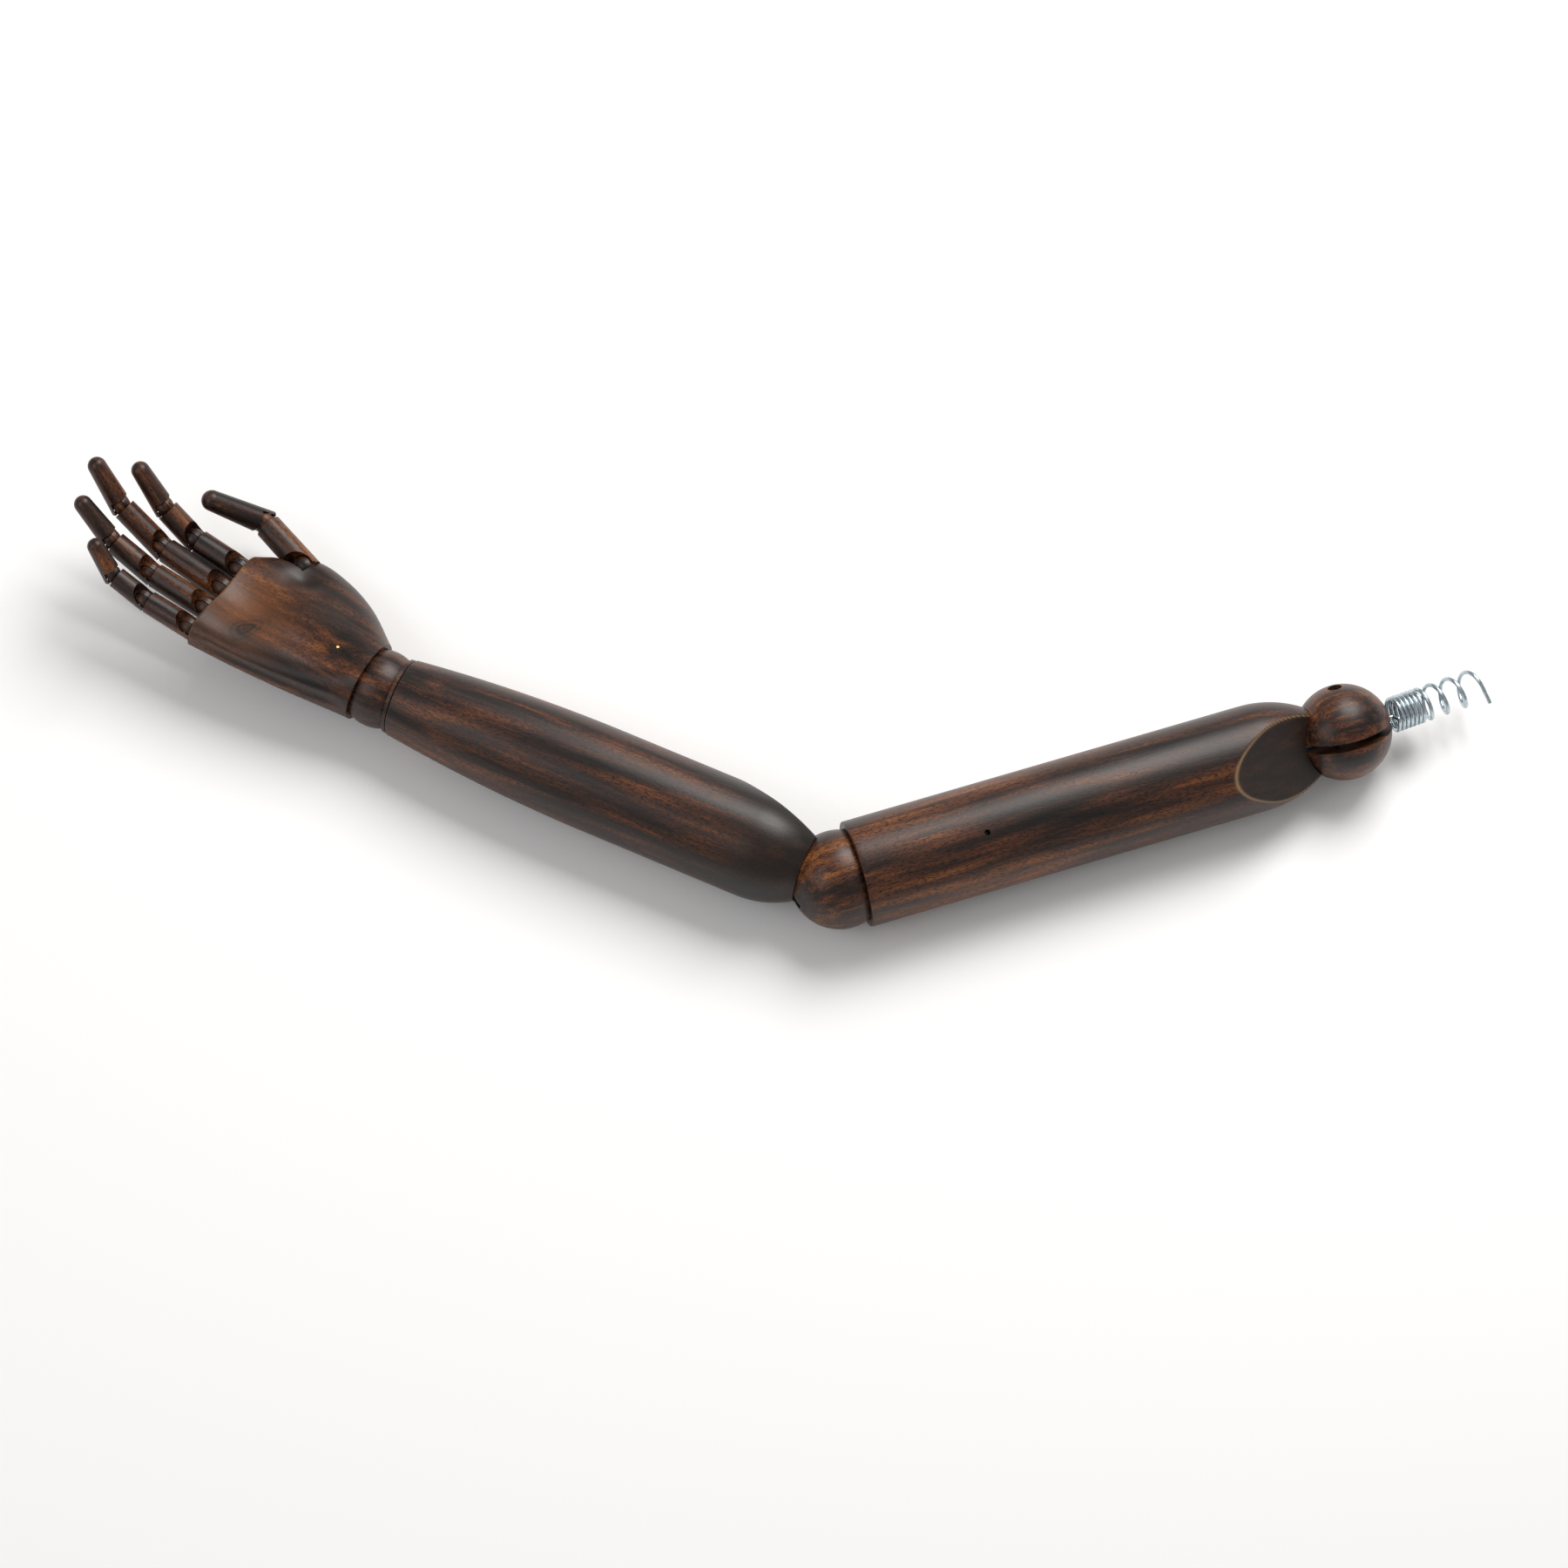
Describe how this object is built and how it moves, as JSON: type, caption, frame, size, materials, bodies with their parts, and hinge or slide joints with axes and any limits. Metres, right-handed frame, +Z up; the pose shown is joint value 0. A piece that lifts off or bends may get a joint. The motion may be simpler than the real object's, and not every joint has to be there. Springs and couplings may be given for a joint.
{
  "type": "jointed mannequin arm",
  "caption": "Life-size jointed wooden mannequin right arm with ball elbow, wrist and shoulder, hinged fingers and thumb, and a hooked shoulder spring.",
  "frame": {"origin": "centre of the footprint, on the floor that the arm lies on", "axes": "+X from the hand to the shoulder end, along the longest side; +Y to the inner side of the bent elbow; +Z up, out of the palm"},
  "size_m": [0.7804, 0.2642, 0.0768],
  "materials": {
    "stained_wood": "satin, dark walnut stain with streaks along the grain",
    "plain_wood": "plain turned beech, unseen inside the limbs",
    "zinc_steel": "zinc plated, semi-gloss",
    "brass": "dull"
  },
  "bodies": {
    "upper_arm": {"upper_arm": "stained_wood", "elbow_bush": "plain_wood", "elbow_disc_springs": "zinc_steel", "elbow_bush_dowel": "plain_wood", "shoulder_bush": "plain_wood", "shoulder_disc_springs": "zinc_steel", "shoulder_bush_dowel": "plain_wood"},
    "elbow_ball": {"elbow_ball": "stained_wood", "elbow_spigot": "zinc_steel", "elbow_nut": "zinc_steel", "elbow_hinge_pin": "zinc_steel"},
    "forearm": {"forearm": "stained_wood", "elbow_tongue": "zinc_steel", "elbow_tongue_dowel": "plain_wood", "wrist_bush": "plain_wood", "wrist_disc_springs": "zinc_steel", "wrist_bush_dowel": "plain_wood"},
    "wrist_ball": {"wrist_ball": "stained_wood", "wrist_spigot": "zinc_steel", "wrist_nut": "zinc_steel", "wrist_hinge_pin": "zinc_steel"},
    "hand": {"palm": "stained_wood", "wrist_tongue": "zinc_steel", "palm_nail": "brass"},
    "shoulder_link": {"shoulder_link": "zinc_steel", "shoulder_nut": "zinc_steel"},
    "shoulder_ball": {"shoulder_ball": "stained_wood", "shoulder_hinge_pin": "zinc_steel"},
    "shoulder_spring": {"shoulder_spring": "zinc_steel"},
    "index_proximal": {"index_proximal": "stained_wood", "index_proximal_pin": "zinc_steel"},
    "index_middle": {"index_middle": "stained_wood", "index_middle_pin": "zinc_steel"},
    "index_distal": {"index_distal": "stained_wood", "index_distal_pin": "zinc_steel"},
    "middle_proximal": {"middle_proximal": "stained_wood", "middle_proximal_pin": "zinc_steel"},
    "middle_middle": {"middle_middle": "stained_wood", "middle_middle_pin": "zinc_steel"},
    "middle_distal": {"middle_distal": "stained_wood", "middle_distal_pin": "zinc_steel"},
    "ring_proximal": {"ring_proximal": "stained_wood", "ring_proximal_pin": "zinc_steel"},
    "ring_middle": {"ring_middle": "stained_wood", "ring_middle_pin": "zinc_steel"},
    "ring_distal": {"ring_distal": "stained_wood", "ring_distal_pin": "zinc_steel"},
    "little_proximal": {"little_proximal": "stained_wood", "little_proximal_pin": "zinc_steel"},
    "little_middle": {"little_middle": "stained_wood", "little_middle_pin": "zinc_steel"},
    "little_distal": {"little_distal": "stained_wood", "little_distal_pin": "zinc_steel"},
    "thumb_proximal": {"thumb_proximal": "stained_wood", "thumb_proximal_pin": "zinc_steel"},
    "thumb_distal": {"thumb_distal": "stained_wood", "thumb_distal_pin": "zinc_steel"}
  },
  "joints": [
    {"name": "arm_elbow_swivel", "type": "hinge", "parent": "upper_arm", "child": "elbow_ball", "pos_m": [0.03041, -0.10512, 0.0295], "axis": [0.9527, 0.304, 0], "range_deg": [-90, 90]},
    {"name": "arm_elbow_flexion", "type": "hinge", "parent": "elbow_ball", "child": "forearm", "pos_m": [0.03041, -0.10512, 0.0295], "axis": [0, 0, -1], "range_deg": [-42.2, 37.8]},
    {"name": "arm_wrist_twist", "type": "hinge", "parent": "forearm", "child": "wrist_ball", "pos_m": [-0.22073, 0.00934, 0.0295], "axis": [-0.91, 0.4147, 0], "range_deg": [-90, 90]},
    {"name": "arm_wrist_bend", "type": "hinge", "parent": "wrist_ball", "child": "hand", "pos_m": [-0.22073, 0.00934, 0.0295], "axis": [0.4017, 0.8814, -0.2487], "range_deg": [-29.4, 20.6]},
    {"name": "arm_shoulder_swivel", "type": "hinge", "parent": "upper_arm", "child": "shoulder_link", "pos_m": [0.30669, -0.01695, 0.0295], "axis": [0.9527, 0.304, 0], "range_deg": [-90, 90]},
    {"name": "arm_shoulder_tilt", "type": "hinge", "parent": "shoulder_link", "child": "shoulder_ball", "pos_m": [0.30669, -0.01695, 0.0295], "axis": [0.2224, -0.6967, -0.682], "range_deg": [-5, 70]},
    {"name": "arm_spring_swing", "type": "hinge", "parent": "shoulder_ball", "child": "shoulder_spring", "pos_m": [0.30669, -0.01695, 0.0295], "axis": [0.2224, -0.6967, -0.682], "range_deg": [-20, 20]},
    {"name": "finger_index_knuckle", "type": "hinge", "parent": "hand", "child": "index_proximal", "pos_m": [-0.30207, 0.08364, 0.02913], "axis": [0.5024, 0.826, -0.2556], "range_deg": [-5, 63]},
    {"name": "finger_index_middle", "type": "hinge", "parent": "index_proximal", "child": "index_middle", "pos_m": [-0.32777, 0.10051, 0.03313], "axis": [0.5024, 0.826, -0.2556], "range_deg": [-24, 56]},
    {"name": "finger_index_tip", "type": "hinge", "parent": "index_middle", "child": "index_distal", "pos_m": [-0.3442, 0.11444, 0.04583], "axis": [0.5024, 0.826, -0.2556], "range_deg": [-18, 42]},
    {"name": "finger_middle_knuckle", "type": "hinge", "parent": "hand", "child": "middle_proximal", "pos_m": [-0.31031, 0.06953, 0.03343], "axis": [0.5244, 0.8119, -0.2567], "range_deg": [-3, 65]},
    {"name": "finger_middle_middle", "type": "hinge", "parent": "middle_proximal", "child": "middle_middle", "pos_m": [-0.3449, 0.09306, 0.03717], "axis": [0.5244, 0.8119, -0.2567], "range_deg": [-22, 58]},
    {"name": "finger_middle_tip", "type": "hinge", "parent": "middle_middle", "child": "middle_distal", "pos_m": [-0.36743, 0.11223, 0.05179], "axis": [0.5244, 0.8119, -0.2567], "range_deg": [-24, 36]},
    {"name": "finger_ring_knuckle", "type": "hinge", "parent": "hand", "child": "ring_proximal", "pos_m": [-0.31846, 0.05536, 0.03773], "axis": [0.4875, 0.8351, -0.2548], "range_deg": [-4, 64]},
    {"name": "finger_ring_middle", "type": "hinge", "parent": "ring_proximal", "child": "ring_middle", "pos_m": [-0.3496, 0.07487, 0.04206], "axis": [0.4875, 0.8351, -0.2548], "range_deg": [-14, 66]},
    {"name": "finger_ring_tip", "type": "hinge", "parent": "ring_middle", "child": "ring_distal", "pos_m": [-0.37128, 0.09052, 0.05191], "axis": [0.4875, 0.8351, -0.2548], "range_deg": [-21, 39]},
    {"name": "finger_little_knuckle", "type": "hinge", "parent": "hand", "child": "little_proximal", "pos_m": [-0.32643, 0.04109, 0.04202], "axis": [0.4649, 0.8483, -0.2534], "range_deg": [-5, 63]},
    {"name": "finger_little_middle", "type": "hinge", "parent": "little_proximal", "child": "little_middle", "pos_m": [-0.35151, 0.05607, 0.04616], "axis": [0.4649, 0.8483, -0.2534], "range_deg": [-12, 68]},
    {"name": "finger_little_tip", "type": "hinge", "parent": "little_middle", "child": "little_distal", "pos_m": [-0.36906, 0.06795, 0.05373], "axis": [0.4649, 0.8483, -0.2534], "range_deg": [-36, 24]},
    {"name": "thumb_base", "type": "hinge", "parent": "hand", "child": "thumb_proximal", "pos_m": [-0.26598, 0.08582, 0.02762], "axis": [-0.5452, -0.3997, -0.7369], "range_deg": [-8, 2]},
    {"name": "thumb_tip", "type": "hinge", "parent": "thumb_proximal", "child": "thumb_distal", "pos_m": [-0.28972, 0.11271, 0.03061], "axis": [-0.5452, -0.3997, -0.7369], "range_deg": [-12, 48]}
  ]
}
